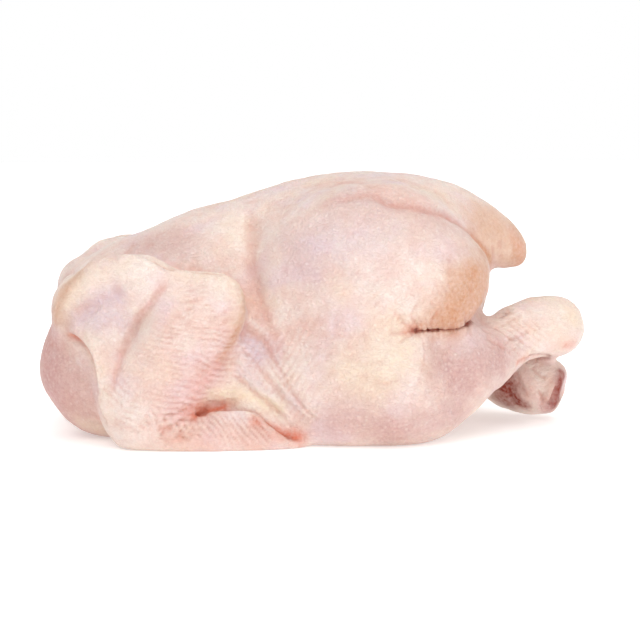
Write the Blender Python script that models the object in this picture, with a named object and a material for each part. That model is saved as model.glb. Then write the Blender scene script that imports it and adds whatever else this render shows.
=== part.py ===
"""Whole raw chicken, plucked and drawn, lying on its breast with its legs crossed behind it.

Metres, +Z up. +X runs from the neck to the tail, and the bird's left side faces -Y. The origin is the
middle of the footprint, on the surface that the bird lies on. Muscles and bones are given in millimetres
of a bird 303 mm long, and the whole is brought to its own length at the end.
"""

import math

import bmesh
import bpy
import numpy as np
from mathutils import Matrix, Vector

MM = 0.001

# Driving sizes, in millimetres.
BODY_LENGTH = 280.0
VOXEL = 3.0
TRIANGLES = 9600
PRESS = 3.0
FLOOR_CUT = 0.4

# Settling: how many steps, in how many of them the mesh is also evened, and the furthest move of a step.
SETTLE_STEPS = 7
EVENED_STEPS = 5
EVENING = 0.6
FURTHEST_MOVE = 4.0

SKIN_COLOUR = (0.86, 0.70, 0.63, 1.0)
SKIN_ROUGHNESS = 0.42

# Muscles of the trunk. Each is (centre, radii, pitch in degrees), and a sided one is given for the left.
TRUNK = [
    ((-54, 0, 75), (80, 50, 47.5), 18),
    ((27, 0, 97), (71, 42, 45), 0),
    ((26, 0, 55), (66, 50, 56), 0),
    ((-112, 0, 72), (31, 36, 24), 20),
]
BREAST = [
    ((-61, -24, 42), (85, 39, 45), 0),
    ((-105, -24, 34), (43, 36, 36), -3),
    ((-28, -44, 26), (56, 26, 30), 0),
    ((-92, -42, 52), (30, 16, 38), 0),
]
THIGH = ((31, -40, 79), (63, 38, 57), -16)
RUMP_CUT = ((84, 0, 60), (0.90, 0, -0.44))
KNEE = ((24, -54, 19), (52, 28, 24), 0)
TAIL = [
    ((76, 0, 112), (38, 27, 20.5), -30),
    ((101.5, 0, 104), (21.5, 17, 12.5), -39),
]
ABDOMEN = ((80, 0, 39), (22, 28, 20), 0)

# Limbs are chains of (x, y, z, radius) along the bone. Each leg ends in a flat cut, given as (point, outward
# direction), and the back of the thighs is flattened in the same way.
LEFT_LEG = [(6, -52, 28, 28), (40, -53, 31, 31), (70, -45, 38, 25), (89, -34, 43, 18.5), (102, -27, 48, 14.5),
            (111, -22, 53, 14), (122, -15, 55, 15.5), (133, -8, 54.5, 17.8)]
RIGHT_LEG = [(6, 52, 28, 28), (38, 53, 31, 30), (64, 45, 35, 25), (84, 34, 34, 19), (102, 20, 30, 15),
             (114, 11, 23, 16.5), (124, 4, 20.5, 16.8), (132, -2, 19.5, 15.5)]
LEFT_CUT = ((139, 4, 54), (0.50, 0.80, 0.32))
RIGHT_CUT = ((140, -6, 19), (0.87, -0.42, -0.25))
UPPER_WING = [(-128, -41, 74, 14.5), (-112, -49, 83, 14), (-95, -55, 84, 14), (-78, -60, 80, 12)]
FOREARM = [
    ((-66, -62, 62), (23, 14, 28), -8),
    ((-57, -62, 75), (14, 12, 14), 0),
    ((-80, -65, 39), (25, 14, 34), -25),
    ((-91, -66, 16), (21, 13, 20), -15),
]
WING_FRONT_EDGE = [(-128, -44, 63, 8), (-115, -54, 53, 7), (-110, -59, 37, 7), (-108, -62, 23, 7),
                   (-102, -64, 14, 9)]
WING_WEB = ((-116, -50, 66), (-84, -57, 76), (-104, -60, 16), 9)
HAND = [(-84, -70, 9, 11), (-60, -70, 8, 10)]
HAND_BLADE = ((-46, -69, 0), (38, 11, 20), 0)
FAR_WING_SHIFT = (-1, 3, 3)
SHOULDER = (-134, -40, 70)
VENT = [(93, 0, 86, 5), (98, 0, 64, 7)]

# Fillets, in millimetres, where muscles and bones run into each other under the skin.
TRUNK_FILLET = 22.0
BREAST_FILLET = 16.0
TAIL_FILLET = 8.0
ABDOMEN_FILLET = 10.0
THIGH_FILLET = 20.0
RUMP_FILLET = 14.0
VENT_FILLET = 10.0
KNEE_FILLET = 12.0
LEG_FILLET, ANKLE_FILLET = 18.0, 4.0
LEG_X, ANKLE_X = 28.0, 68.0
LIMB_FILLET = 6.0
CUT_FILLET = 4.0
ARM_FILLET = 10.0
FOREARM_FILLET = 12.0
HAND_FILLET = 8.0
WRIST_FILLET = 4.0
WING_FILLET = 5.5
SHOULDER_FILLET = 12.0
SHOULDER_REACH = (8.0, 40.0)

# Creases of the skin as seen from the side: ((x, z) points, depth, width). Both sides have them. They fade
# out towards the middle of the back, and at both ends of each crease over a share of its length.
CREASE_FADE = (22.0, 36.0)
CREASE_TAPER = 0.25
CREASES = [
    ([(-76, 96), (-86, 84), (-96, 69), (-103, 56), (-108, 42), (-113, 14)], 1.5, 6.0),
    ([(-132, 66), (-117, 78), (-98, 90)], 1.6, 8.0),
    ([(42, 61), (57, 61), (67, 61), (76, 65), (104, 74)], 4.0, 4.5),
    ([(-46, 56), (-33, 38), (-17, 19), (4, 2)], 1.4, 4.5),
    ([(-56, 56), (-43, 35), (-25, 16), (-6, 2)], 1.4, 4.5),
    ([(-27, 136), (-35, 114), (-38, 93), (-36, 77), (-31, 61), (-22, 40), (-10, 22)], 2.0, 8.0),
    ([(6, 126), (26, 131), (45, 125), (62, 120), (76, 114), (86, 104), (95, 92)], 2.0, 7.0),
]


def smooth_min(a, b, width):
    """The nearer of two distances, with a fillet about width across where they meet."""
    h = np.maximum(width - np.abs(a - b), 0.0) / width
    return np.minimum(a, b) - h * h * width * 0.25


def smooth_max(a, b, width):
    return -smooth_min(-a, -b, width)


def smooth_step(low, high, x):
    t = np.clip((x - low) / (high - low), 0.0, 1.0)
    return t * t * (3 - 2 * t)


def muscle_distance(points, centre, radii, pitch):
    """Near the surface, how far each point stands outside an ellipsoid pitched about Y."""
    p = points - np.array(centre, float)
    c, s = math.cos(math.radians(pitch)), math.sin(math.radians(pitch))
    p = np.stack([p[:, 0] * c + p[:, 2] * s, p[:, 1], p[:, 2] * c - p[:, 0] * s], axis=1)
    r = np.array(radii, float)
    near = np.linalg.norm(p / r, axis=1)
    steep = np.linalg.norm(p / (r * r), axis=1)
    return near * (near - 1.0) / np.maximum(steep, 1e-6)


def limb_distance(points, chain, fillet=LIMB_FILLET):
    """Distance to a chain of tapered round bones."""
    found = None
    for (*a, ra), (*b, rb) in zip(chain, chain[1:]):
        a, b = np.array(a, float), np.array(b, float)
        along = b - a
        t = np.clip((points - a) @ along / (along @ along), 0.0, 1.0)
        d = np.linalg.norm(points - a - t[:, None] * along, axis=1) - (ra + (rb - ra) * t)
        found = d if found is None else smooth_min(found, d, fillet)
    return found


def web_distance(points, a, b, c, thickness):
    """Distance to a flat triangle of skin with rounded edges."""
    a, b, c = (np.array(v, float) for v in (a, b, c))
    normal = np.cross(b - a, c - a)
    normal /= np.linalg.norm(normal)
    height = (points - a) @ normal
    inside = np.ones(len(points), bool)
    edge = np.full(len(points), np.inf)
    for p, q in ((a, b), (b, c), (c, a)):
        along = q - p
        t = np.clip((points - p) @ along / (along @ along), 0.0, 1.0)
        edge = np.minimum(edge, np.linalg.norm(points - p - t[:, None] * along, axis=1))
        inside &= (points - p) @ np.cross(normal, along) > 0
    return np.where(inside, np.abs(height), edge) - thickness


def mirrored(points):
    return points * np.array([1.0, -1.0, 1.0])


def cut_distance(points, cut):
    at, out = (np.array(v, float) for v in cut)
    return (points - at) @ (out / np.linalg.norm(out))


def crease_depth(points):
    """How deep the creases press the skin in at each point."""
    flank = smooth_step(*CREASE_FADE, np.abs(points[:, 1]))
    side = points[:, [0, 2]]
    depth = np.zeros(len(points))
    for line, deep, width in CREASES:
        line = np.array(line, float)
        near = np.full(len(points), np.inf)
        along = np.zeros(len(points))
        legs = len(line) - 1
        for i, (a, b) in enumerate(zip(line, line[1:])):
            t = np.clip((side - a) @ (b - a) / ((b - a) @ (b - a)), 0.0, 1.0)
            d = np.linalg.norm(side - a - t[:, None] * (b - a), axis=1)
            along = np.where(d < near, (i + t) / legs, along)
            near = np.minimum(near, d)
        taper = smooth_step(0.0, CREASE_TAPER, along) * smooth_step(0.0, CREASE_TAPER, 1.0 - along)
        depth += deep * taper * flank * np.exp(-((near / width) ** 2) * 2.0)
    return depth


def trunk_distance(points):
    d = None
    for muscle in TRUNK:
        m = muscle_distance(points, *muscle)
        d = m if d is None else smooth_min(d, m, TRUNK_FILLET)
    for side in (points, mirrored(points)):
        for muscle in BREAST:
            d = smooth_min(d, muscle_distance(side, *muscle), BREAST_FILLET)
    for muscle in TAIL:
        d = smooth_min(d, muscle_distance(points, *muscle), TAIL_FILLET)
    return d


def wing_distance(points):
    """The left wing: folded, with its elbow at the back, and its hand lying forward to back on the ground."""
    front = limb_distance(points, WING_FRONT_EDGE, ARM_FILLET)
    d = smooth_min(limb_distance(points, UPPER_WING, ARM_FILLET), front, ARM_FILLET)
    d = smooth_min(d, web_distance(points, *WING_WEB), ARM_FILLET)
    for muscle in FOREARM:
        d = smooth_min(d, muscle_distance(points, *muscle), FOREARM_FILLET)
    hand = smooth_min(limb_distance(points, HAND), muscle_distance(points, *HAND_BLADE), HAND_FILLET)
    return smooth_min(d, hand, WRIST_FILLET)


def leg_distance(points, leg, cut):
    return smooth_max(limb_distance(points, leg), cut_distance(points, cut), CUT_FILLET)


def bird_distance(points):
    """How far each point stands outside the skin, in millimetres."""
    d = smooth_min(trunk_distance(points), muscle_distance(points, *ABDOMEN), ABDOMEN_FILLET)
    other = mirrored(points)
    for side in (points, other):
        thigh = smooth_max(muscle_distance(side, *THIGH), cut_distance(side, RUMP_CUT), RUMP_FILLET)
        d = smooth_min(d, thigh, THIGH_FILLET)
    d = smooth_max(d, -limb_distance(points, VENT), VENT_FILLET)
    fillet = LEG_FILLET + (ANKLE_FILLET - LEG_FILLET) * smooth_step(LEG_X, ANKLE_X, points[:, 0])
    for leg, cut in ((LEFT_LEG, LEFT_CUT), (RIGHT_LEG, RIGHT_CUT)):
        d = smooth_min(d, leg_distance(points, leg, cut), fillet)
    for side in (points, other):
        d = smooth_min(d, muscle_distance(side, *KNEE), KNEE_FILLET)
    for side in (points, other - np.array(FAR_WING_SHIFT, float)):
        shoulder = np.linalg.norm(side - SHOULDER, axis=1)
        fillet = WING_FILLET + SHOULDER_FILLET * (1.0 - smooth_step(*SHOULDER_REACH, shoulder))
        d = smooth_min(d, wing_distance(side), fillet)
    return smooth_max(d + crease_depth(points), -points[:, 2], PRESS)


def settle_on_skin(mesh, distance, probe=0.25):
    """Moves each vertex along the gradient of the distance until it lies on the skin. In the first steps
    it is also drawn towards its neighbours, which keeps the mesh even in the narrow folds."""
    count = len(mesh.vertices)
    co = np.empty(count * 3)
    mesh.vertices.foreach_get("co", co)
    p = co.reshape(-1, 3) / MM
    ends = np.empty(len(mesh.edges) * 2, dtype=np.int64)
    mesh.edges.foreach_get("vertices", ends)
    near, far = ends.reshape(-1, 2).T
    neighbours = np.bincount(ends, minlength=count)[:, None]
    for step in range(SETTLE_STEPS):
        if step < EVENED_STEPS:
            total = np.stack([np.bincount(near, p[far, k], count) + np.bincount(far, p[near, k], count)
                              for k in range(3)], axis=1)
            p = p + EVENING * (total / neighbours - p)
        d = distance(p)
        slope = np.stack([(distance(p + probe * axis) - distance(p - probe * axis)) / (2 * probe)
                          for axis in np.eye(3)], axis=1)
        steep = np.maximum((slope**2).sum(axis=1), 0.25)
        p = p - np.clip(d, -FURTHEST_MOVE, FURTHEST_MOVE)[:, None] * slope / steep[:, None]
    mesh.vertices.foreach_set("co", (p * MM).ravel())
    mesh.update()


def add_ball(bm, centre, radii, pitch=0.0):
    turn = Matrix.Rotation(math.radians(-pitch), 4, "Y")
    place = Matrix.Translation(Vector(centre) * MM) @ turn @ Matrix.Diagonal((*(Vector(radii) * MM), 1.0))
    bmesh.ops.create_icosphere(bm, subdivisions=4 if max(radii) > 20 else 2, radius=1.0, matrix=place)


def add_limb(bm, chain, spacing=6.0):
    for (*a, ra), (*b, rb) in zip(chain, chain[1:]):
        a, b = Vector(a), Vector(b)
        pieces = max(2, round((b - a).length / spacing))
        for i in range(pieces + 1):
            t = i / pieces
            r = ra + (rb - ra) * t
            add_ball(bm, a.lerp(b, t), (r, r, r))


def add_web(bm, a, b, c, thickness, steps=6):
    a, b, c = Vector(a), Vector(b), Vector(c)
    for i in range(steps + 1):
        for j in range(steps + 1 - i):
            u, v = i / steps, j / steps
            add_ball(bm, a * (1 - u - v) + b * u + c * v, (thickness,) * 3)


def rough_bird():
    """Overlapping balls where the muscles and bones are, fused by a voxel remesh."""
    bm = bmesh.new()
    for muscle in [*TRUNK, *TAIL, ABDOMEN]:
        add_ball(bm, *muscle)
    add_limb(bm, LEFT_LEG)
    add_limb(bm, RIGHT_LEG)
    sided = bmesh.new()
    for muscle in [*BREAST, THIGH, KNEE, HAND_BLADE, *FOREARM]:
        add_ball(sided, *muscle)
    for chain in (UPPER_WING, WING_FRONT_EDGE, HAND):
        add_limb(sided, chain)
    add_web(sided, *WING_WEB)
    half = bpy.data.meshes.new("half")
    sided.to_mesh(half)
    sided.free()
    bm.from_mesh(half)
    half.transform(Matrix.Diagonal((1.0, -1.0, 1.0, 1.0)))
    half.flip_normals()
    bm.from_mesh(half)
    bpy.data.meshes.remove(half)
    mesh = bpy.data.meshes.new("chicken")
    bm.to_mesh(mesh)
    bm.free()
    bird = bpy.data.objects.new("chicken", mesh)
    bpy.context.scene.collection.objects.link(bird)
    remesh = bird.modifiers.new("fuse", "REMESH")
    remesh.mode = "VOXEL"
    remesh.voxel_size = VOXEL * MM
    apply_modifiers(bird)
    return bird


def apply_modifiers(obj):
    graph = bpy.context.evaluated_depsgraph_get()
    fresh = bpy.data.meshes.new_from_object(obj.evaluated_get(graph))
    obj.modifiers.clear()
    old = obj.data
    obj.data = fresh
    bpy.data.meshes.remove(old)


def cut_level(obj, height):
    """Cuts the underside flat at a height and stands the piece on it."""
    bm = bmesh.new()
    bm.from_mesh(obj.data)
    bmesh.ops.bisect_plane(bm, geom=[*bm.verts, *bm.edges, *bm.faces], dist=1e-7, plane_co=(0, 0, height),
                           plane_no=(0, 0, 1), clear_inner=True)
    rim = [e for e in bm.edges if e.is_boundary]
    bmesh.ops.holes_fill(bm, edges=rim, sides=0)
    bmesh.ops.triangulate(bm, faces=bm.faces[:])
    bmesh.ops.translate(bm, verts=bm.verts[:], vec=(0, 0, -height))
    bmesh.ops.recalc_face_normals(bm, faces=bm.faces[:])
    bm.to_mesh(obj.data)
    bm.free()


def centre_on_footprint(obj):
    """Brings the piece to its full length, with the origin below the middle of its bounds."""
    co = np.empty(len(obj.data.vertices) * 3)
    obj.data.vertices.foreach_get("co", co)
    p = co.reshape(-1, 3)
    low, high = p.min(axis=0), p.max(axis=0)
    middle = (low + high) / 2
    middle[2] = low[2]
    p = (p - middle) * (BODY_LENGTH * MM / (high[0] - low[0]))
    obj.data.vertices.foreach_set("co", p.ravel())
    obj.data.update()


def main():
    for obj in list(bpy.data.objects):
        bpy.data.objects.remove(obj, do_unlink=True)
    bird = rough_bird()
    settle_on_skin(bird.data, bird_distance)
    thin = bird.modifiers.new("thin", "DECIMATE")
    thin.ratio = TRIANGLES / (2 * len(bird.data.polygons))
    apply_modifiers(bird)
    cut_level(bird, FLOOR_CUT * MM)
    centre_on_footprint(bird)
    bird.data.shade_smooth()
    skin = bpy.data.materials.new("skin")
    skin.use_nodes = True
    shader = skin.node_tree.nodes["Principled BSDF"]
    shader.inputs["Base Color"].default_value = SKIN_COLOUR
    shader.inputs["Roughness"].default_value = SKIN_ROUGHNESS
    bird.data.materials.append(skin)


main()
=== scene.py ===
import itertools
import math

import bmesh
import bpy
import numpy as np
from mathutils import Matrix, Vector
from mathutils.bvhtree import BVHTree


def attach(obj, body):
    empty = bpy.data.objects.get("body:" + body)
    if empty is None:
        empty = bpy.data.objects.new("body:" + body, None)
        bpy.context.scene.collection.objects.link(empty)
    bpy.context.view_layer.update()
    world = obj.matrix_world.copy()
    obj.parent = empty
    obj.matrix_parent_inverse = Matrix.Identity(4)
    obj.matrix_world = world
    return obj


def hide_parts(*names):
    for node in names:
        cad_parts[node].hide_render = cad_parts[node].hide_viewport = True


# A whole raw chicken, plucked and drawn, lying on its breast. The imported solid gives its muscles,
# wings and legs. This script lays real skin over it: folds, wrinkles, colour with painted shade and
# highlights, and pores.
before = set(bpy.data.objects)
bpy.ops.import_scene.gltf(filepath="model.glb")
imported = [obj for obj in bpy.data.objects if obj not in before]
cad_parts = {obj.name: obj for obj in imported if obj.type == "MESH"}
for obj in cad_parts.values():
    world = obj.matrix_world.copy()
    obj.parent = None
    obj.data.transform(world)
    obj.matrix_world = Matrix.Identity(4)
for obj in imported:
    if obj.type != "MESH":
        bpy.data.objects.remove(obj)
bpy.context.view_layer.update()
mm = 0.001


# Skin mesh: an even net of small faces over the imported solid, finer where the skin is creased.
# Sizes are in mm.
skinMesh = {
    "weld": 0.002,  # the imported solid's corners closer than this are one
    "voxel": 1.78,
    "evenPasses": 16,
    "finePasses": 4,
    "smoothPull": 0.5,  # share of the way to the middle of its neighbours that each vertex moves
    "letOut": -0.52,
    "fineZones": [  # (centre, radius) on the left side; the right side has the same
        ((-58, -68, 34), 28),
        ((-94, -62, 42), 34),
        ((-30, -68, 20), 26),
        ((62, -58, 60), 28),
        ((104, -34, 42), 24),
        ((124, -14, 22), 22),
    ],
}


def addToScene(name, data):
    piece = bpy.data.objects.new(name, data)
    bpy.context.scene.collection.objects.link(piece)
    return piece


def applyModifiers(piece):
    graph = bpy.context.evaluated_depsgraph_get()
    fresh = bpy.data.meshes.new_from_object(piece.evaluated_get(graph))
    piece.modifiers.clear()
    piece.data = fresh


def copyOfSolid(nodeName, pieceName):
    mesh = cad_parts[nodeName].data.copy()
    mesh.materials.clear()
    bm = bmesh.new()
    bm.from_mesh(mesh)
    bmesh.ops.remove_doubles(bm, verts=bm.verts[:], dist=skinMesh["weld"] * mm)
    bm.to_mesh(mesh)
    bm.free()
    return addToScene(pieceName, mesh)


def vertexPlaces(mesh):
    co = np.empty(len(mesh.vertices) * 3)
    mesh.vertices.foreach_get("co", co)
    return co.reshape(-1, 3) / mm


def vertexNormals(mesh):
    normals = np.empty(len(mesh.vertices) * 3)
    mesh.vertex_normals.foreach_get("vector", normals)
    return normals.reshape(-1, 3)


def placeVertices(mesh, places):
    mesh.vertices.foreach_set("co", (places * mm).ravel())
    mesh.update()


def edgeEnds(mesh):
    ends = np.empty(len(mesh.edges) * 2, dtype=np.int64)
    mesh.edges.foreach_get("vertices", ends)
    return ends.reshape(-1, 2).T


def pulled(places, ends, pull):
    # Each vertex moves the share pull of the way to the middle of its neighbours.
    one, two = ends
    count = len(places)
    neighbours = np.bincount(one, minlength=count) + np.bincount(two, minlength=count)
    total = np.stack([np.bincount(one, axis[two], count) + np.bincount(two, axis[one], count)
                      for axis in places.T], axis=1)
    return places + pull * (total / neighbours[:, None] - places)


def evenOut(mesh, passes):
    # Each pass pulls the skin smooth, then lets it out again, so that nothing shrinks.
    ends = edgeEnds(mesh)
    places = vertexPlaces(mesh)
    for step in range(passes):
        places = pulled(pulled(places, ends, skinMesh["smoothPull"]), ends, skinMesh["letOut"])
    placeVertices(mesh, places)


def netOfSkin():
    skin = copyOfSolid("chicken", "chickenSkin")
    net = skin.modifiers.new("net", "REMESH")
    net.mode = "VOXEL"
    net.voxel_size = skinMesh["voxel"] * mm
    applyModifiers(skin)
    evenOut(skin.data, skinMesh["evenPasses"])
    places = vertexPlaces(skin.data)
    fine = np.zeros(len(places), bool)
    for centre, radius in skinMesh["fineZones"]:
        for side in (1, -1):
            fine |= np.linalg.norm(places * (1, side, 1) - centre, axis=1) < radius
    bm = bmesh.new()
    bm.from_mesh(skin.data)
    bm.verts.ensure_lookup_table()
    edges = [e for e in bm.edges if fine[e.verts[0].index] and fine[e.verts[1].index]]
    bmesh.ops.subdivide_edges(bm, edges=edges, cuts=1, use_grid_fill=True)
    bmesh.ops.triangulate(bm, faces=[f for f in bm.faces if len(f.verts) > 4])
    bm.to_mesh(skin.data)
    bm.free()
    evenOut(skin.data, skinMesh["finePasses"])
    return skin


# Folds: each is (points in mm along the fold, height, width). A negative height is a groove, and a
# positive one a ridge. A lap is a step: the skin to the left of the line, seen from outside, lies on top.
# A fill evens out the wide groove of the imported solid, and a crease then cuts a fine, jagged one there.
folds = {
    "lap": [
        ([(-128, -45, 56), (-122, -51, 55), (-117, -54, 52), (-113, -57, 48), (-110, -59, 42),
          (-109, -61, 34), (-108, -63, 25), (-107, -66, 17), (-104, -68, 10)], 2.6, 5.0),  # wing over breast
        ([(-41, -59, 73), (-43, -58, 78), (-50, -61, 82), (-57, -62, 84), (-69, -59, 85), (-77, -59, 86),
          (-84, -58, 89), (-90, -56, 91), (-101, -50, 91), (-111, -50, 89), (-120, -46, 84)], 1.8, 4.0),
        ([(-11, -67, 4), (-17, -69, 4), (-23, -70, 7), (-29, -70, 12), (-34, -67, 16), (-41, -66, 18),
          (-51, -67, 18), (-60, -69, 17), (-66, -72, 13)], 1.6, 2.6),  # top edge of the wing's hand
        ([(-40, -62, 67), (-34, -55, 58), (-28, -56, 51), (-24, -60, 42), (-18, -66, 32), (-13, -71, 24),
          (-7, -73, 17), (1, -74, 12)], 1.1, 5.0),  # thigh over the flank
        ([(38, -79, 25), (42, -77, 33), (45, -74, 41), (46, -70, 47), (45, -68, 55)], 0.5, 3.0),  # knee
    ],
    "line": [
        ([(-129, -47, 67), (-125, -47, 75), (-116, -53, 82), (-106, -56, 87), (-97, -58, 88),
          (-88, -62, 86)], 1.8, 6.0),  # upper arm
        ([(-120, -52, 60), (-113, -55, 67), (-104, -59, 73), (-95, -63, 77)], -0.8, 4.5),  # hollow under it
        ([(-75, -62, 83), (-80, -65, 77), (-85, -64, 69), (-90, -60, 63), (-95, -59, 53), (-99, -62, 44),
          (-103, -66, 30), (-104, -68, 21)], -0.9, 2.2),  # between the web of skin and the forearm
        ([(-114, -56, 56), (-109, -60, 44), (-107, -64, 28)], 1.0, 3.5),
        ([(-62, -69, 73), (-71, -71, 59), (-80, -72, 45), (-87, -72, 31)], 1.2, 10.0),  # forearm
        ([(-48, -62, 80), (-43, -64, 70), (-46, -68, 58), (-52, -70, 44)], 0.8, 4.0),
        ([(-40, -55, 62), (-44, -60, 48), (-52, -62, 34)], -1.2, 3.0),
        ([(-32, -5, 119), (-34, -26, 108), (-35, -37, 96), (-33, -45, 82), (-31, -50, 71), (-28, -53, 61),
          (-23, -57, 50)], -0.6, 4.0),  # front of the thigh
        ([(0, -50, 116), (9, -51, 119), (21, -48, 121), (27, -50, 119), (33, -53, 117), (43, -52, 115),
          (55, -48, 112), (67, -41, 107), (76, -34, 100), (82, -30, 93), (87, -22, 86)], -1.5, 3.2),
        ([(6, -23, 125), (19, -30, 126), (30, -46, 122), (43, -48, 118)], -0.9, 4.0),
        ([(7, -51, 117), (20, -50, 119), (34, -54, 116)], -0.4, 2.0),
        ([(42, -69, 57), (35, -71, 56), (30, -72, 57)], -1.0, 1.2),
        ([(42, -69, 58), (36, -71, 62), (32, -71, 67)], -1.0, 1.2),
        ([(43, -68, 58), (41, -70, 65), (44, -70, 71)], -0.9, 1.2),
        ([(48, -66, 58), (52, -68, 63), (55, -67, 68)], -0.8, 1.2),
        ([(42, -69, 56), (37, -71, 53), (34, -73, 51)], -1.0, 1.2),
        ([(21, -76, 34), (29, -78, 33), (36, -78, 35)], -0.6, 1.6),
        ([(7, -70, 46), (18, -73, 42), (31, -75, 43)], -0.4, 2.0),
        ([(-38, -57, 57), (-32, -59, 47), (-27, -62, 37), (-20, -67, 28), (-13, -71, 20),
          (-5, -73, 13)], 1.0, 1.3),  # tendons
        ([(-43, -62, 45), (-37, -63, 35), (-28, -65, 26), (-20, -67, 18), (-15, -68, 12)], 0.9, 1.2),
        ([(-41, -60, 50), (-34, -61, 40), (-26, -64, 30), (-18, -68, 21)], -1.1, 1.5),
        ([(-39, -59, 46), (-32, -61, 36), (-25, -64, 27)], 0.8, 1.1),
        ([(-33, -55, 54), (-28, -59, 44), (-21, -64, 34), (-14, -69, 25)], 0.7, 1.1),
        ([(-45, -62, 41), (-38, -64, 33), (-29, -66, 24)], 0.7, 1.1),
        ([(-47, -63, 38), (-38, -64, 30), (-28, -66, 21), (-20, -68, 14)], -0.9, 1.4),
        ([(-55, -66, 27), (-46, -64, 26), (-36, -65, 23), (-27, -66, 19)], 1.2, 4.0),
        ([(-80, -74, 16), (-75, -73, 19), (-70, -72, 20), (-65, -70, 23)], -1.1, 1.2),  # wrist
        ([(-84, -74, 11), (-77, -74, 12), (-73, -73, 14), (-68, -71, 17)], -1.0, 1.2),
        ([(-78, -74, 8), (-75, -74, 9), (-72, -74, 8)], 1.6, 2.2),
        ([(-70, -74, 5), (-69, -73, 9)], -1.2, 1.3),
        ([(88, -21, 95), (90, -17, 86)], -0.7, 1.2),  # tail
        ([(93, -18, 97), (95, -15, 85)], -0.7, 1.2),
        ([(99, -13, 99), (101, -10, 86)], -0.5, 1.2),
        ([(56, -62, 70), (59, -64, 80), (60, -62, 92)], -0.5, 2.0),  # rump
        ([(67, -58, 64), (71, -58, 74), (72, -55, 86)], -0.6, 2.0),
    ],
    "single": [  # on one side only, as the crossed legs differ
        ([(73, -51, 62), (79, -42, 63), (84, -34, 64), (90, -27, 65),
          (97, -22, 66)], -3.2, 4.5),  # root of the shank
        ([(85, -40, 56), (90, -42, 53), (96, -41, 49), (103, -37, 47)], -0.9, 1.2),
        ([(81, -51, 51), (86, -49, 47), (92, -47, 43)], -0.8, 1.2),
        ([(90, -39, 54), (97, -33, 57), (103, -30, 59)], -0.6, 1.3),
        ([(89, -49, 45), (95, -42, 48), (102, -37, 50), (108, -33, 52)], -1.0, 1.2),
        ([(93, -46, 42), (99, -40, 45), (104, -36, 49)], -0.8, 1.1),
        ([(86, -46, 49), (93, -44, 46), (100, -38, 44)], 0.6, 1.6),
        ([(100, -40, 36), (105, -34, 36), (111, -27, 36), (116, -21, 35), (122, -14, 35)], -1.8, 1.4),
        ([(102, -12, 30), (106, -9, 23), (108, -11, 18), (111, -11, 12)], -0.9, 1.6),
        ([(112, -8, 30), (116, -12, 26), (120, -14, 24)], -1.0, 1.3),
        ([(115, -14, 19), (117, -14, 14), (118, -12, 8)], -0.8, 1.3),
        ([(102, -5, 17), (104, -6, 9)], -1.3, 1.6),
        ([(127, -13, 20), (125, -14, 17), (124, -14, 13), (122, -12, 8)], -2.6, 2.6),  # cut end
        ([(123, -15, 22), (121, -16, 17), (120, -14, 11)], 1.5, 1.8),
        ([(131, -4, 19), (130, -3, 14), (127, -7, 10)], 1.2, 1.8),
        ([(130, 5, 45), (129, 5, 44)], 2.0, 4.0),  # gristle of the near leg's cut end
        ([(122, 9, 41), (123, 9, 42)], 2.0, 4.0),
        ([(126, 7, 50), (126, 7, 35)], -1.4, 1.6),
        ([(-105, -46, 91), (-99, -28, 95), (-92, -12, 97)], -0.9, 3.0),
        ([(83, 0, 82), (87, 0, 72), (90, 0, 60)], -5.0, 4.5),  # vent
        ([(84, -9, 80), (89, -11, 70), (92, -9, 60)], 1.6, 3.0),
        ([(84, 9, 80), (89, 11, 70), (92, 9, 60)], 1.6, 3.0),
        ([(-119, 24, 89), (-128, 10, 85), (-131, -4, 84), (-127, -18, 86),
          (-117, -28, 90)], -2.2, 2.6),  # neck skin
        ([(-131, 14, 80), (-137, 12, 70), (-139, 8, 58)], -1.1, 2.0),
        ([(-132, 3, 79), (-138, 2, 68), (-140, 0, 54)], -1.3, 2.2),
        ([(-132, -9, 79), (-137, -9, 69), (-138, -12, 56)], -1.0, 1.8),
        ([(-128, -20, 80), (-134, -22, 70), (-136, -24, 60)], -0.9, 2.0),
        ([(-128, 22, 80), (-134, 24, 71), (-136, 26, 62)], -0.9, 1.8),
    ],
    "fill": [([(41, -69, 57), (51, -64, 57), (59, -62, 57), (65, -59, 57), (70, -55, 58)], 2.4, 4.0)],
    "crease": [
        ([(41, -70, 57), (51, -65, 57), (59, -63, 57), (65, -59, 57), (70, -55, 58), (74, -51, 60),
          (79, -45, 62), (83, -39, 64)], -3.0, 1.0),  # between the rump and the drumstick
        ([(-63, -69, 16), (-58, -66, 20), (-52, -63, 21), (-43, -65, 22)], -1.6, 1.8),  # under the forearm
    ],
}
foldShape = {
    "reach": 3.0,  # widths from its line within which a fold is felt
    "fade": 0.18,  # share of a fold's length over which it rises, and again dies away
    "uneven": (0.35, 5.0, 3),  # (strength, size in mm, seed) of its changing height
    "lapReach": (1.5, 0.7),  # widths over which the upper and the lower skin of a lap settle
    "lapLower": -0.7,  # how far the lower skin sinks for each step up of the upper
    "lapEdge": 0.22,  # widths from the line at which a lap's step is done
    "jagged": (0.5, 1.6, 8),
    "creaseFade": (0.05, 0.12),
    "creaseShallow": 0.45,  # share of its depth that a crease loses half-way along
}


def smoothStep(low, high, x):
    t = np.clip((x - low) / (high - low), 0.0, 1.0)
    return t * t * (3 - 2 * t)


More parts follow.
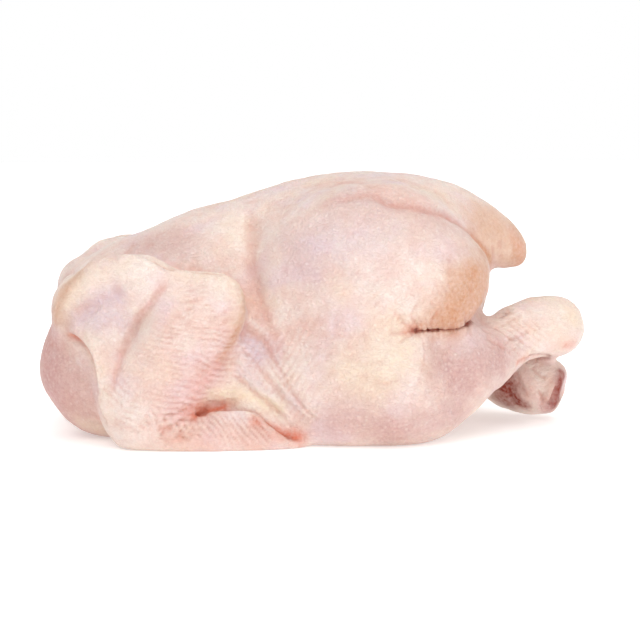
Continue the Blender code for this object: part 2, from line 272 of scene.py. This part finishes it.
def skinNoise(places, size, seed):
    # Smooth random hills about size across, from -1 to 1.
    q = places / size
    cell = np.floor(q).astype(np.int64)
    f = q - cell
    f = f * f * (3 - 2 * f)
    total = np.zeros(len(places))
    for corner in itertools.product((0, 1), repeat=3):
        c = cell + corner
        h = (c[:, 0] * 73856093 ^ c[:, 1] * 19349663 ^ c[:, 2] * 83492791 ^ seed * 2654435761) & 0x7FFFFFFF
        h = (h ^ (h >> 13)) * 1274126177 & 0x7FFFFFFF
        weight = np.prod(np.where(corner, f, 1 - f), axis=1)
        total += weight * ((h % 65536) / 32767.5 - 1)
    return total


def uneven(places, strength, size, seed):
    return 1 + strength * skinNoise(places, size, seed)


def mirrored(points, side):
    return np.array(points, float) * (1, side, 1)


def curveThrough(points, step=0.8):
    # A smooth line through the points, sampled about every step millimetres.
    p = np.array(points, float)
    p = np.vstack([2 * p[0] - p[1], p, 2 * p[-1] - p[-2]])
    samples = []
    for a, b, c, d in zip(p, p[1:], p[2:], p[3:]):
        pieces = max(2, int(np.linalg.norm(c - b) / step))
        t = np.linspace(0, 1, pieces, endpoint=False)[:, None]
        samples.append(0.5 * (2 * b + (c - a) * t + (2 * a - 5 * b + 4 * c - d) * t**2
                              + (3 * b - a - 3 * c + d) * t**3))
    return np.vstack([*samples, p[-2:-1]])


def treeOf(mesh):
    return BVHTree.FromPolygons([v.co for v in mesh.vertices], [f.vertices for f in mesh.polygons])


def lineOnSkin(points, tree):
    return np.array([tree.find_nearest(Vector(s) * mm)[0] for s in curveThrough(points)]) / mm


def besideLine(places, normals, line, reach):
    # For the vertices near a line: which they are, how far off, how far along from 0 to 1, and on which side.
    low, high = line.min(axis=0) - reach, line.max(axis=0) + reach
    near = np.flatnonzero(np.all((places > low) & (places < high), axis=1))
    gap = places[near, None, :] - line[None, :, :]
    length = np.linalg.norm(gap, axis=2)
    nearest = length.argmin(axis=1)
    rows = np.arange(len(near))
    heading = np.gradient(line, axis=0)[nearest]
    heading /= np.linalg.norm(heading, axis=1)[:, None] + 1e-9
    left = np.einsum("ij,ij->i", np.cross(normals[near], heading), gap[rows, nearest])
    return near, length[rows, nearest], nearest / (len(line) - 1), left


def foldProfile(kind, places, width, off, along, left):
    # How high a fold stands at each of the places, as a share of its full height.
    if kind == "crease":
        start, end = foldShape["creaseFade"]
        taper = smoothStep(0.0, start, along) * smoothStep(0.0, end, 1 - along)
        taper *= 1 - foldShape["creaseShallow"] * np.sin(math.pi * along)
        return taper * uneven(places, *foldShape["jagged"]) * np.exp(-(off / width) ** 2)
    fade = foldShape["fade"]
    taper = smoothStep(0.0, fade, along) * smoothStep(0.0, fade, 1 - along)
    taper *= uneven(places, *foldShape["uneven"])
    if kind != "lap":
        return taper * np.exp(-(off / width) ** 2)
    upper, lower = foldShape["lapReach"]
    reach = width * np.where(left > 0, upper, lower)
    step = np.minimum(np.abs(left) / (foldShape["lapEdge"] * width), 1.0)
    return taper * np.where(left > 0, 1.0, foldShape["lapLower"]) * step * np.exp(-(off / reach) ** 2)


def foldSkin(skin):
    places, normals = vertexPlaces(skin.data), vertexNormals(skin.data)
    tree = treeOf(skin.data)
    rise = np.zeros(len(places))
    for kind, strokes in folds.items():
        for points, height, width in strokes:
            for side in (1, -1) if kind != "single" else (1,):
                line = lineOnSkin(mirrored(points, side), tree)
                near, off, along, left = besideLine(places, normals, line, width * foldShape["reach"])
                rise[near] += height * foldProfile(kind, places[near], width, off, along, left * side)
    placeVertices(skin.data, places + normals * rise[:, None])
    evenOut(skin.data, 1)


# Wrinkles: rows of fine ripples along a line, with reach, spacing and height in mm and slope in degrees.
wrinkles = [
    {"line": [(-46, -66, 70), (-50, -67, 50), (-60, -68, 28), (-70, -73, 14)], "reach": 14, "spacing": 2.8,
     "height": 0.46, "slope": 6, "seed": 11},
    {"line": [(-62, -69, 73), (-71, -71, 59), (-80, -72, 45), (-84, -72, 31)], "reach": 11, "spacing": 2.6,
     "height": 0.32, "slope": 12, "seed": 25},
    {"line": [(-98, -67, 26), (-90, -72, 16), (-78, -75, 8)], "reach": 9, "spacing": 3.2, "height": 0.3,
     "slope": 34, "seed": 26},
    {"line": [(-56, -70, 40), (-64, -71, 22), (-76, -74, 16)], "reach": 10, "spacing": 3.4, "height": 0.45,
     "slope": 20, "seed": 12},
    {"line": [(-84, -74, 14), (-76, -74, 14), (-68, -72, 12)], "reach": 7, "spacing": 3.8, "height": 0.35,
     "slope": 62, "seed": 24},
    {"line": [(-66, -72, 12), (-46, -71, 10), (-26, -70, 7)], "reach": 8, "spacing": 2.6, "height": 0.42,
     "slope": -128, "seed": 13},
    {"line": [(-38, -62, 56), (-22, -64, 34), (-8, -70, 18)], "reach": 9, "spacing": 3.2, "height": 0.22,
     "slope": -52, "seed": 14},
    {"line": [(84, -46, 50), (96, -40, 48), (106, -32, 48)], "reach": 12, "spacing": 2.8, "height": 0.28,
     "slope": 36, "seed": 15},
    {"line": [(58, -62, 68), (76, -52, 72)], "reach": 14, "spacing": 4.2, "height": 0.16,
     "slope": 80, "seed": 16},
    {"line": [(46, -67, 60), (59, -62, 60), (72, -55, 64)], "reach": 4, "spacing": 2.5, "height": 0.4,
     "slope": 84, "seed": 19},
    {"line": [(-20, -60, 60), (-14, -67, 42), (-4, -72, 26)], "reach": 12, "spacing": 3.2, "height": 0.16,
     "slope": -60, "seed": 17},
    {"line": [(30, -72, 70), (50, -69, 74)], "reach": 18, "spacing": 2.8, "height": 0.14,
     "slope": 58, "seed": 18},
]
wrinkleShape = {
    "hills": [(0.6, 15.0, 21), (0.3, 6.0, 22), (0.12, 2.6, 23)],  # (height, size, seed) of the whole skin
    "warps": [(1.3, 9.0, 0), (0.5, 4.0, 40)],  # how far a row's ripples stray from straight
    "reach": 1.6,
    "blunt": 0.35,  # furrows are sharper than the ridges between them
    "strength": 0.6,
    "patchy": (0.6, 6.0, 80),  # some ripples are deep, and some die away
    "floorBand": (0.3, 4.0),  # the skin lies flat where the bird rests
}


def layeredNoise(places, layers, seed=0):
    return sum(height * skinNoise(places, size, seed + layerSeed) for height, size, layerSeed in layers)


def wrinkleSkin(skin):
    places, normals = vertexPlaces(skin.data), vertexNormals(skin.data)
    rise = layeredNoise(places, wrinkleShape["hills"])
    tree = treeOf(skin.data)
    for row in wrinkles:
        turn = math.radians(row["slope"])
        for side in (1, -1):
            line = lineOnSkin(mirrored(row["line"], side), tree)
            near, off = besideLine(places, normals, line, row["reach"] * wrinkleShape["reach"])[:2]
            p = places[near]
            across = p[:, 2] * math.cos(turn) + p[:, 0] * math.sin(turn)
            across += layeredNoise(p, wrinkleShape["warps"], row["seed"])
            wave = np.sin(across * 2 * math.pi / row["spacing"])
            ripple = wave - wrinkleShape["blunt"] * wave**2
            strength = wrinkleShape["strength"] + layeredNoise(p, [wrinkleShape["patchy"]], row["seed"])
            rise[near] += row["height"] * ripple * strength * np.exp(-(off / row["reach"]) ** 2)
    lift = smoothStep(*wrinkleShape["floorBand"], places[:, 2])
    places = places + normals * (rise * lift)[:, None]
    places[:, 2] = np.maximum(places[:, 2], 0.0)
    placeVertices(skin.data, places)


# Tints: (points in mm, reach in mm, amount) for each stain of the skin and each patch of painted shade,
# painted into a mask of its name.
tintShape = {
    "reach": 4.0,  # reaches from its line within which a stain is painted
    "ragged": [(0.25, 7.0, 31), (0.12, 2.5, 32)],  # (strength, size in mm, seed) of the stains' uneven edges
    "hollows": [(4, 0.3), (24, 2.2)],  # (smoothing passes, depth in mm) that tell fine and broad furrows
}
tints = {  # on both sides
    "mauve": [  # thin skin with muscle showing through; in places also painted shade, low on the breast, drumstick and thigh and along the thigh's top crease
        # partly the thin skin's own mauve, partly painted shade darkening the underside of the breast
        ([(-131, -28, 44), (-126, -34, 28), (-118, -34, 14)], 25, 1.0),
        ([(58, -64, 36), (76, -54, 38), (84, -48, 40)], 14, 0.95),
        ([(50, -67, 55), (51, -69, 46), (50, -72, 38)], 3.5, 0.55),
        # partly mauve skin, partly painted shade darkening the low drumstick and thigh
        ([(36, -72, 10), (62, -64, 18)], 13, 0.7),
        ([(4, -75, 14), (12, -76, 14), (26, -76, 10)], 13, 0.6),
        ([(-6, -70, 52), (6, -72, 40), (16, -75, 24)], 13, 0.3),
        ([(-118, -52, 62), (-110, -56, 70), (-100, -60, 75)], 7, 0.15),
        ([(-89, -22, 93), (-69, -30, 96)], 12, 0.5),
        # painted shade along the thigh's top crease, over the mauve
        ([(14, -52, 114), (44, -54, 108), (62, -48, 98)], 16, 0.45),
        ([(0, -50, 116), (21, -48, 121), (33, -53, 117), (55, -48, 112), (76, -34, 100)], 4.5, 0.35),
        ([(-12, -60, 96), (-4, -62, 84)], 16, 0.35),
        ([(-40, -60, 64), (-30, -59, 46)], 7, 0.5),
    ],
    "flushAndShade": [
        ([(-32, -5, 119), (-35, -37, 96), (-31, -50, 71), (-22, -58, 52)], 4, 0.12),
        ([(-56, -67, 30), (-66, -71, 22), (-76, -74, 14)], 10, 0.38),
        ([(-62, -69, 66), (-74, -72, 48), (-80, -73, 30)], 14, 0.2),
        ([(-72, -75, 4), (-30, -71, 4)], 6, 0.3),
        ([(-131, -28, 40), (-120, -34, 20)], 20, 0.25),
        ([(-48, -68, 62), (-54, -70, 40)], 6, 0.35),
        ([(-60, -71, 8), (-36, -70, 8)], 8, 0.4),
        ([(-80, -65, 77), (-90, -60, 63), (-99, -62, 44), (-104, -67, 22)], 2.5, 0.35),
        # painted shade along the thigh's top crease and the crease above it
        ([(0, -50, 116), (21, -48, 121), (33, -53, 117), (55, -48, 112), (76, -34, 100),
          (87, -22, 86)], 3.0, 0.2),
        ([(6, -23, 125), (19, -30, 126), (30, -46, 122), (43, -48, 118)], 8, 0.25),
    ],
    "rosy": [
        ([(-34, -69, 13), (-24, -70, 8), (-14, -68, 5)], 3.4, 0.9),
        ([(-64, -70, 16), (-58, -66, 19), (-50, -64, 20)], 2.6, 1.0),
        ([(-78, -74, 10), (-70, -74, 8)], 2.6, 0.35),
        ([(-55, -68, 42), (-62, -71, 31)], 5.0, 0.25),
        ([(-68, -72, 19), (-62, -69, 22)], 3.0, 0.4),
        ([(-122, -49, 55), (-116, -54, 53)], 2.2, 0.6),
        ([(102, -13, 98), (106, -10, 90)], 5.0, 0.2),
        ([(44, -68, 58), (38, -71, 57)], 2.6, 0.5),
    ],
    "fat": [
        ([(-129, -47, 67), (-116, -53, 82), (-97, -58, 88)], 6.5, 0.5),
        ([(-113, -57, 52), (-107, -63, 34), (-105, -66, 18)], 4.5, 0.45),
        ([(-60, -62, 82), (-44, -61, 76), (-43, -64, 64)], 6, 0.7),
        ([(12, -73, 38), (26, -77, 36), (36, -76, 46)], 12, 0.65),
        ([(24, -74, 62), (36, -72, 56)], 10, 0.5),
        ([(-55, -66, 27), (-40, -64, 26), (-24, -66, 20)], 5, 0.9),
        ([(-118, -40, 8), (-108, -44, 6)], 8, 0.6),
        ([(80, -20, 112), (100, -4, 98)], 16, 0.3),
    ],
    "tan": [
        ([(60, -66, 66), (66, -62, 74), (73, -56, 84)], 11, 0.85),
        ([(72, -58, 64), (79, -49, 76), (79, -45, 90)], 8, 0.5),
        ([(79, -32, 97), (85, -26, 91), (90, -19, 84)], 2.5, 0.8),
        ([(56, -64, 68), (60, -63, 82)], 3.0, 0.3),
        ([(68, -59, 66), (71, -56, 82), (70, -50, 92)], 2.2, 0.5),
        ([(77, -53, 68), (80, -48, 80), (78, -44, 92)], 2.0, 0.5),
        ([(46, -68, 60), (60, -62, 60), (74, -52, 64)], 6, 0.7),
        ([(-132, -44, 60), (-129, -48, 70), (-122, -50, 80), (-112, -52, 88), (-100, -54, 90)], 3.6, 0.6),
        ([(-58, -61, 84), (-48, -61, 81), (-42, -61, 74), (-42, -64, 62), (-48, -67, 50)], 2.8, 0.5),
        ([(-112, -58, 50), (-110, -61, 38), (-108, -64, 24)], 1.8, 0.4),
        ([(84, -20, 104), (100, -6, 94), (107, 0, 84)], 15, 0.6),
        ([(-60, -68, 19), (-52, -65, 21), (-44, -64, 22)], 4, 0.5),
        ([(76, -34, 100), (82, -30, 93), (87, -22, 86)], 4, 0.5),
        ([(-128, -46, 62), (-124, -50, 60)], 5, 0.35),
        ([(-43, -62, 72), (-44, -65, 60), (-50, -68, 46)], 3.5, 0.6),
    ],
    "cool": [
        ([(-38, -59, 54), (-33, -59, 44)], 6, 0.8),
        ([(-110, -58, 60), (-102, -60, 64), (-96, -61, 60)], 5, 0.6),
        ([(-118, -52, 62), (-110, -56, 70), (-100, -60, 75)], 6, 0.8),
        ([(-40, -63, 36), (-28, -65, 26), (-16, -70, 22)], 4, 0.5),
        ([(-8, -62, 100), (24, -62, 98)], 14, 0.4),
    ],
    "rawFleshAndShade": [
        # dark red painted deep in the crease between the rump and the drumstick
        ([(42, -69, 57), (51, -65, 57), (59, -63, 57), (65, -59, 57), (70, -55, 58), (74, -51, 60),
          (79, -45, 62), (83, -39, 64)], 1.8, 0.9),
        # dark red painted deep in the pocket under the forearm
        ([(-66, -71, 14), (-62, -68, 17), (-58, -66, 19)], 1.4, 0.7),
        ([(-66, -72, 13), (-72, -74, 9)], 0.9, 0.4),
        ([(-28, -70, 8), (-18, -69, 5)], 1.2, 0.45),
    ],
}
singleTints = {  # on one side only
    "mauve": [
        ([(127, -12, 20), (125, -13, 15), (123, -11, 9)], 6, 1.0),
    ],
    "flushAndShade": [
        ([(128, -24, 44), (122, -26, 42)], 6, 0.3),
        ([(84, -46, 52), (104, -34, 48)], 8, 0.05),
        ([(108, -12, 28), (112, -12, 16)], 5, 0.35),
    ],
    "rosy": [
        ([(83, 0, 82), (87, 0, 72), (90, 0, 60)], 6.0, 0.7),
        ([(126, 7, 54), (135, 2, 47), (132, 4, 36), (124, 8, 32), (117, 12, 38), (118, 11, 48),
          (126, 7, 54)], 2.6, 0.8),
        ([(128, -20, 42), (132, -19, 43)], 2.4, 0.35),
        # painted shade: the dark line where the crossed legs touch
        ([(100, -39, 36), (105, -33, 37), (116, -21, 36)], 1.8, 0.7),
    ],
    "fat": [([(119, -12, 64), (131, -16, 58)], 12, 0.6)],
    "tan": [([(122, -16, 26), (122, -15, 14)], 4, 0.3)],
    "cool": [([(130, 5, 45)], 6, 0.8), ([(122, 9, 41)], 6, 0.8)],
    "rawFleshAndShade": [
        ([(84, 0, 80), (87, 0, 72), (90, 0, 61)], 2.4, 0.6),
        # painted shade, not flesh: the dark line where the crossed legs touch, and the far leg's inner corner
        # in the shadow under the near shank
        ([(107, -32, 38), (111, -27, 38), (116, -21, 37), (122, -13, 35)], 1.3, 0.9),
        ([(98, -6, 19), (100, -6, 17), (103, -7, 14), (107, -8, 9)], 4.0, 1.0),
        ([(92, -4, 15), (96, -4, 11), (101, -4, 7)], 6.5, 0.9),
        ([(100, -7, 25), (103, -8, 19)], 5.0, 0.9),
        ([(112, -8, 34), (121, -9, 34)], 2.0, 0.6),
        ([(103, -10, 28), (106, -9, 22), (108, -10, 17)], 2.4, 0.25),
        ([(106, -8, 14), (111, -9, 8)], 2.6, 0.5),
        # the raw flesh of the far leg's cut end
        ([(128, -12, 22), (128, -11, 17), (128, -10, 13), (126, -9, 9)], 4.0, 1.0),
        ([(128, -10, 27), (130, -8, 24)], 2.4, 0.8),
    ],
}


def paintSkin(skin):
    places, normals = vertexPlaces(skin.data), vertexNormals(skin.data)
    ragged = 1 + layeredNoise(places, tintShape["ragged"])
    masks = {}
    for name in tints:
        masks[name] = np.zeros(len(places))
        patches = [(patch, side) for patch in tints[name] for side in (1, -1)]
        patches += [(patch, 1) for patch in singleTints[name]]
        for (points, reach, amount), side in patches:
            line = mirrored(points, side)
            if len(points) > 1:
                line = curveThrough(line)
            margin = reach * tintShape["reach"]
            inside = (places > line.min(axis=0) - margin) & (places < line.max(axis=0) + margin)
            near = np.flatnonzero(np.all(inside, axis=1))
            off = np.linalg.norm(places[near, None, :] - line[None, :, :], axis=2).min(axis=1)
            paint = amount * np.exp(-(off * ragged[near] / reach) ** 2)
            masks[name][near] = 1 - (1 - masks[name][near]) * (1 - paint)
    # Painted shade and highlight: wherever the skin lies in a furrow it is painted darker, as shade, and on a
    # ridge it is painted pale, as a highlight.
    ends = edgeEnds(skin.data)
    smooth = places
    sink = np.zeros(len(places))
    for passes, depth in tintShape["hollows"]:
        for step in range(passes):
            smooth = pulled(smooth, ends, skinMesh["smoothPull"])
        sink += np.einsum("ij,ij->i", smooth - places, normals) / depth
    masks["furrowShade"] = 1 - np.exp(-np.maximum(sink, 0.0))
    masks["ridgeHighlight"] = 1 - np.exp(-np.maximum(-sink, 0.0))
    for name, mask in masks.items():
        layer = skin.data.attributes.new(name, "FLOAT", "POINT")
        layer.data.foreach_set("value", mask)


# Materials. In a node's settings and links, a number names a socket by its place.
def srgbToLinear(hexColour):
    channels = [int(hexColour[i:i + 2], 16) / 255 for i in (1, 3, 5)]
    return [c / 12.92 if c <= 0.04045 else ((c + 0.055) / 1.055) ** 2.4 for c in channels] + [1.0]


def addNode(tree, kind, settings, links):
    node = tree.nodes.new(kind)
    for name, value in settings.items():
        if isinstance(name, int) or name in node.inputs:
            node.inputs[name].default_value = value
        else:
            setattr(node, name, value)
    for name, socket in links.items():
        tree.links.new(socket, node.inputs[name])
    return node


def perMetre(millimetres):
    return 1000 / millimetres


def calculated(tree, operation, settings, links):
    return addNode(tree, "ShaderNodeMath", {"operation": operation, **settings}, links).outputs["Value"]


def ranged(tree, value, span, results, curve="LINEAR"):
    # Turns the values from one end of the span to the other into the results, and holds those beyond it.
    settings = {"From Min": span[0], "From Max": span[1], "To Min": results[0], "To Max": results[1],
                "interpolation_type": curve}
    return addNode(tree, "ShaderNodeMapRange", settings, {"Value": value}).outputs["Result"]


def noiseAt(tree, place, size, **settings):
    # Smooth random hills about size millimetres across.
    settings["Scale"] = perMetre(size)
    return addNode(tree, "ShaderNodeTexNoise", settings, {"Vector": place}).outputs["Fac"]


def overlaid(tree, colour, amount, hexColour):
    return addNode(tree, "ShaderNodeMix", {"data_type": "RGBA", 7: srgbToLinear(hexColour)},
                   {0: amount, 6: colour}).outputs[2]


def newMaterial(name):
    material = bpy.data.materials.new(name)
    material.use_nodes = True
    tree = material.node_tree
    tree.nodes.clear()
    shader = tree.nodes.new("ShaderNodeBsdfPrincipled")
    output = tree.nodes.new("ShaderNodeOutputMaterial")
    tree.links.new(shader.outputs["BSDF"], output.inputs["Surface"])
    return material, tree, shader


skinLooks = {  # sizes and spacings in mm
    "pale": "#f3e3da",
    "warm": "#eed2c7",
    "blotch": 16.0,  # clouds of warm skin in the pale
    "blotchEdge": (0.38, 0.62),
    "patches": [("#ead3dc", 21.0, 0.5), ("#f6dec6", 27.0, 0.38)],  # (colour, size, strength)
    "patchEdge": (0.5, 0.66),
    # broad stains, with the painted highlight on ridges and, in the mauve, some painted shade
    "broadStainsAndPaintedLight": {"ridgeHighlight": "#f9ece2", "mauve": "#c89a96", "cool": "#dfcdd6", "flushAndShade": "#e5a99b",
                    "fat": "#f4e0c8", "tan": "#d09773"},
    # fine stains, with the painted shade in furrows and, in the raw flesh mask, painted shade between the
    # legs
    "fineStainsAndPaintedShade": {"furrowShade": "#cf8f7c", "rosy": "#d9775a", "rawFleshAndShade": "#8c3422"},
    "strengths": {"furrowShade": 0.55, "ridgeHighlight": 0.4},  # the others are painted at full strength
    "grain": 1.8,
    "grainEdge": (0.3, 0.7),
    "grainShare": (0.75, 1.15),  # of a stain's strength, from grain to grain
    "pore": "#fbf0e8",
    "poreSpacing": 2.6,  # feather follicles of a table bird
    "poreEdge": (0.05, 0.5),  # share of the spacing over which the swelling round a follicle falls away
    "poreOnMauve": 0.17,  # strength of the pores, over what shows everywhere
    "poreElsewhere": 0.07,
    "creases": [(2.5, 0.10), (1.3, 0.10)],  # (spacing, strength) of the fine lines
    "creaseEdge": 0.06,
    "creaseColour": "#bd8676",
    "creaseDraw": (0.75, 1.0, 1.2),
    "creaseDepth": -7.0,  # heights in the bump, where a pore's swelling is 1
    "grainHeight": 2.0,
    "roughness": (0.36, 0.60),
}


def stainedAndPaintedLight(tree, colour, paintLayers, grain):
    # Lays each painted mask over the colour, broken up by the grain: the stains, and the painted shade and
    # highlight.
    for name, paintColour in paintLayers.items():
        layer = addNode(tree, "ShaderNodeAttribute", {"attribute_name": name}, {}).outputs["Fac"]
        full = calculated(tree, "MULTIPLY", {1: skinLooks["strengths"].get(name, 1.0)}, {0: layer})
        amount = calculated(tree, "MULTIPLY", {"use_clamp": True}, {0: full, 1: grain})
        colour = overlaid(tree, colour, amount, paintColour)
    return colour


def fineLines(tree, place, spacing, strength):
    # Thin wandering lines, where smooth noise passes through its middle value.
    hills = noiseAt(tree, place, spacing, Detail=1.5, Distortion=0.8)
    off = calculated(tree, "ABSOLUTE", {}, {0: calculated(tree, "SUBTRACT", {1: 0.5}, {0: hills})})
    return ranged(tree, off, (0.0, skinLooks["creaseEdge"]), (strength, 0.0), "SMOOTHSTEP")


def rawChickenSkin():
    # Moist, slightly see-through skin over fat and muscle: soft light goes in, and the gloss is broken.
    material, tree, shader = newMaterial("rawChickenSkin")
    place = addNode(tree, "ShaderNodeTexCoord", {}, {}).outputs["Object"]
    blotch = noiseAt(tree, place, skinLooks["blotch"], Detail=6.0, Roughness=0.65)
    colour = addNode(tree, "ShaderNodeMix", {"data_type": "RGBA", 6: srgbToLinear(skinLooks["pale"]),
                                             7: srgbToLinear(skinLooks["warm"])},
                     {0: ranged(tree, blotch, skinLooks["blotchEdge"], (0.0, 1.0))}).outputs[2]
    for tone, size, strength in skinLooks["patches"]:
        drift = noiseAt(tree, place, size, Detail=2.0)
        share = ranged(tree, drift, skinLooks["patchEdge"], (0.0, strength))
        colour = overlaid(tree, colour, share, tone)
    fine = noiseAt(tree, place, skinLooks["grain"], Detail=3.0)
    grain = ranged(tree, fine, skinLooks["grainEdge"], skinLooks["grainShare"])
    colour = stainedAndPaintedLight(tree, colour, skinLooks["broadStainsAndPaintedLight"], grain)
    # Pores: a small pale swelling round each follicle, plainest where the skin is painted mauve, over thin
    # skin and painted shade alike.
    mauve = addNode(tree, "ShaderNodeAttribute", {"attribute_name": "mauve"}, {}).outputs["Fac"]
    pores = addNode(tree, "ShaderNodeTexVoronoi",
                    {"Scale": perMetre(skinLooks["poreSpacing"]), "Randomness": 0.8}, {"Vector": place})
    swelling = ranged(tree, pores.outputs["Distance"], skinLooks["poreEdge"], (1.0, 0.0), "SMOOTHSTEP")
    dotting = calculated(tree, "MULTIPLY_ADD",
                         {1: skinLooks["poreOnMauve"], 2: skinLooks["poreElsewhere"]}, {0: mauve})
    palePores = calculated(tree, "MULTIPLY", {}, {0: swelling, 1: dotting})
    colour = overlaid(tree, colour, palePores, skinLooks["pore"])
    # Fine creases, drawn out along the body.
    drawn = addNode(tree, "ShaderNodeVectorMath", {"operation": "MULTIPLY", 1: skinLooks["creaseDraw"]},
                    {0: place}).outputs["Vector"]
    relief = swelling
    for spacing, strength in skinLooks["creases"]:
        lines = fineLines(tree, drawn, spacing, strength)
        colour = overlaid(tree, colour, lines, skinLooks["creaseColour"])
        relief = calculated(tree, "MULTIPLY_ADD", {1: skinLooks["creaseDepth"]}, {0: lines, 2: relief})
    relief = calculated(tree, "MULTIPLY_ADD", {1: skinLooks["grainHeight"]}, {0: fine, 2: relief})
    colour = stainedAndPaintedLight(tree, colour, skinLooks["fineStainsAndPaintedShade"], grain)
    bump = addNode(tree, "ShaderNodeBump", {"Strength": 0.55, "Distance": 0.0006}, {"Height": relief})
    shader.inputs["Subsurface Weight"].default_value = 0.15
    shader.inputs["Subsurface Radius"].default_value = (1.0, 0.42, 0.25)
    shader.inputs["Subsurface Scale"].default_value = 0.0025
    shader.inputs["IOR"].default_value = 1.4
    shader.inputs["Specular IOR Level"].default_value = 0.4
    tree.links.new(colour, shader.inputs["Base Color"])
    tree.links.new(ranged(tree, blotch, (0.0, 1.0), skinLooks["roughness"]), shader.inputs["Roughness"])
    tree.links.new(bump.outputs["Normal"], shader.inputs["Normal"])
    return material


# Stage, lights and camera. Lengths are in metres.
studio = {
    "paper": "#f7f7f7",
    "floorSize": 8.0,
    "floorGlow": 0.30,
    "lamps": [  # (name, place, width, power in watts)
        ("key", (-0.4, -0.9, 0.8), 0.5, 2.2),
        ("fill", (0.8, -1.0, 0.17), 0.3, 3.3),
    ],
    "horizon": 1.0,  # brightness of the sky round the horizon, half-way up, and overhead
    "halfway": 0.42,
    "zenith": 1.6,
    "lowBand": (0.08, 0.25),  # heights between which the sky changes, from 0 to 1 overhead
    "highBand": (0.60, 0.85),
    "azimuth": -5.0,
    "elevation": 7.0,
    "distance": 0.924,
    "target": (0.0028, 0.0, 0.0541),
    "lens": 100.0,
}


def aimed(location, target):
    return (Vector(target) - Vector(location)).to_track_quat("-Z", "Y").to_euler()


def whitePaper():
    # Matt card, so the floor shows only soft shadows.
    material, tree, shader = newMaterial("whitePaper")
    shader.inputs["Base Color"].default_value = srgbToLinear(studio["paper"])
    shader.inputs["Emission Color"].default_value = (1, 1, 1, 1)
    shader.inputs["Emission Strength"].default_value = studio["floorGlow"]
    shader.inputs["Roughness"].default_value = 0.9
    shader.inputs["Specular IOR Level"].default_value = 0.1
    return material


def makeFloor():
    bm = bmesh.new()
    bmesh.ops.create_grid(bm, x_segments=1, y_segments=1, size=studio["floorSize"] / 2)
    mesh = bpy.data.meshes.new("floor")
    bm.to_mesh(mesh)
    bm.free()
    mesh.materials.append(whitePaper())
    floor = addToScene("floor", mesh)


def hangLamps():
    for name, place, width, power in studio["lamps"]:
        lamp = bpy.data.lights.new(name, "AREA")
        lamp.size = width
        lamp.energy = power
        stand = addToScene(name, lamp)
        stand.location = place
        stand.rotation_euler = aimed(place, studio["target"])


def makeSky():
    world = bpy.data.worlds.new("studio")
    world.use_nodes = True
    sky = world.node_tree
    heading = addNode(sky, "ShaderNodeTexCoord", {}, {}).outputs["Generated"]
    height = addNode(sky, "ShaderNodeSeparateXYZ", {}, {"Vector": heading}).outputs["Z"]
    edge = ranged(sky, height, studio["lowBand"], (studio["horizon"], studio["halfway"]))
    top = ranged(sky, height, studio["highBand"], (0.0, studio["zenith"] - studio["halfway"]))
    sky.nodes["Background"].inputs["Color"].default_value = (1, 1, 1, 1)
    sky.links.new(calculated(sky, "ADD", {}, {0: edge, 1: top}), sky.nodes["Background"].inputs["Strength"])
    bpy.context.scene.world = world


def setCamera():
    a, e = math.radians(studio["azimuth"]), math.radians(studio["elevation"])
    back = Vector((math.sin(a) * math.cos(e), -math.cos(a) * math.cos(e), math.sin(e)))
    camera = addToScene("camera", bpy.data.cameras.new("camera"))
    camera.location = Vector(studio["target"]) + back * studio["distance"]
    camera.rotation_euler = aimed(camera.location, studio["target"])
    camera.data.lens = studio["lens"]
    bpy.context.scene.camera = camera
    bpy.context.scene.view_settings.view_transform = "Standard"


skin = netOfSkin()
print("net of skin:", len(skin.data.vertices), "vertices")
foldSkin(skin)
wrinkleSkin(skin)
print("folds and wrinkles laid")
paintSkin(skin)
skin.data.shade_smooth()
skin.data.materials.append(rawChickenSkin())
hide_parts("chicken")
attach(skin, "root")
print("skin painted")
makeFloor()
hangLamps()
makeSky()
setCamera()
print("studio ready")
